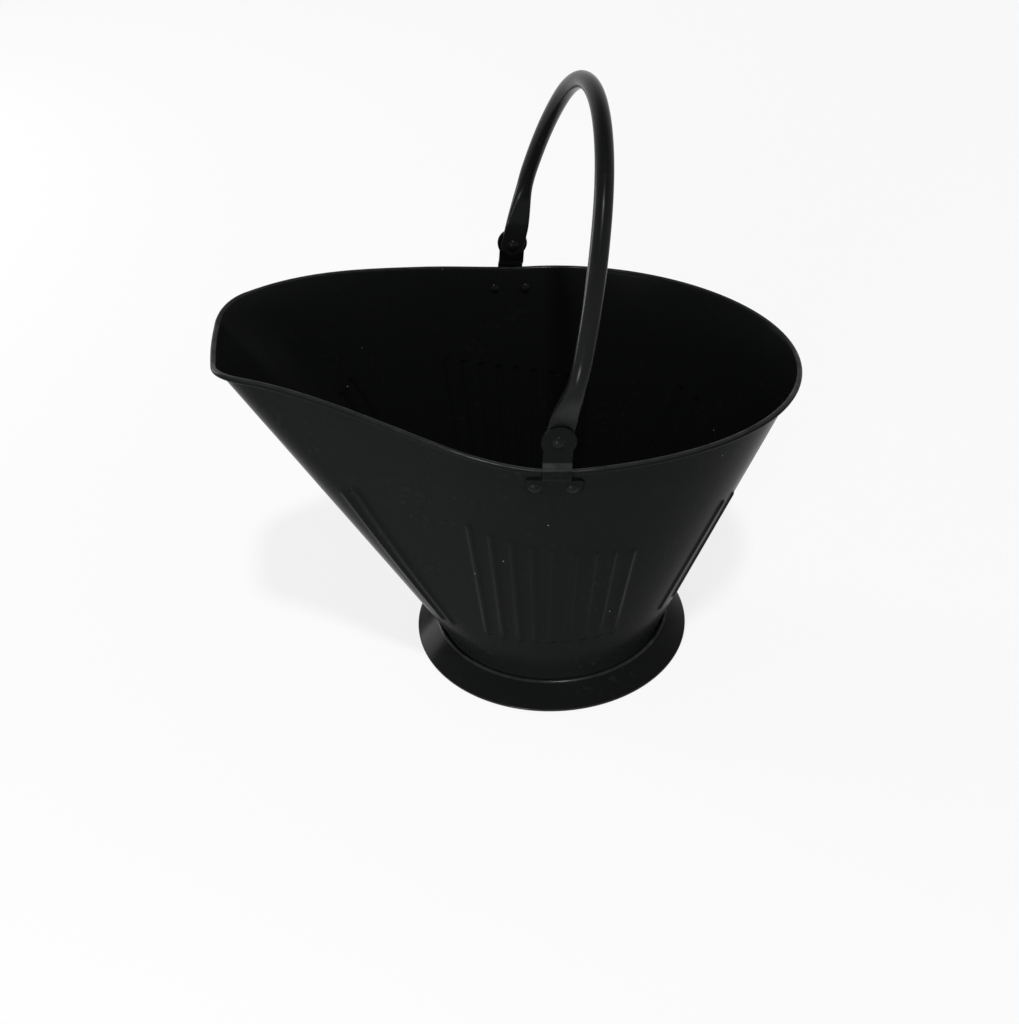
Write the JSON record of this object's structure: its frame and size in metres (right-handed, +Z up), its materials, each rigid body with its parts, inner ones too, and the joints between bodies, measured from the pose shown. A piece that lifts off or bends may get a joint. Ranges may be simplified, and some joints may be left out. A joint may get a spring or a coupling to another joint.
{
  "type": "ash bucket",
  "caption": "Black sheet-steel ash bucket of the coal-hod type: oval mouth drawn out into a pouring spout, pressed ribs, flared round foot and a swinging tubular bail.",
  "frame": {"origin": "centre of the round foot, on the floor that it stands on", "axes": "+Z up, -X towards the pouring spout, -Y towards the left half; the XZ plane is the mirror plane"},
  "size_m": [0.4356, 0.3126, 0.4664],
  "materials": {
    "black_paint": "semi-gloss black",
    "bail_paint": "semi-gloss black",
    "rivet_paint": "semi-gloss black",
    "wire_steel": "plain drawn steel"
  },
  "bodies": {
    "bucket": {"body_half_left": "black_paint", "body_half_right": "black_paint", "floor_pan": "black_paint", "foot_ring": "black_paint", "ear_left": "black_paint", "ear_right": "black_paint", "ear_rivets_left": "rivet_paint", "ear_rivets_right": "rivet_paint", "pivot_rivet_left": "rivet_paint", "pivot_rivet_right": "rivet_paint", "rim_wire_left": "wire_steel", "rim_wire_right": "wire_steel"},
    "bail": {"bail": "bail_paint"}
  },
  "joints": [
    {"name": "bail_swing", "type": "hinge", "parent": "bucket", "child": "bail", "pos_m": [-0.01016, 0, 0.28003], "axis": [0, 1, 0], "range_deg": [-97.1, 85]}
  ]
}
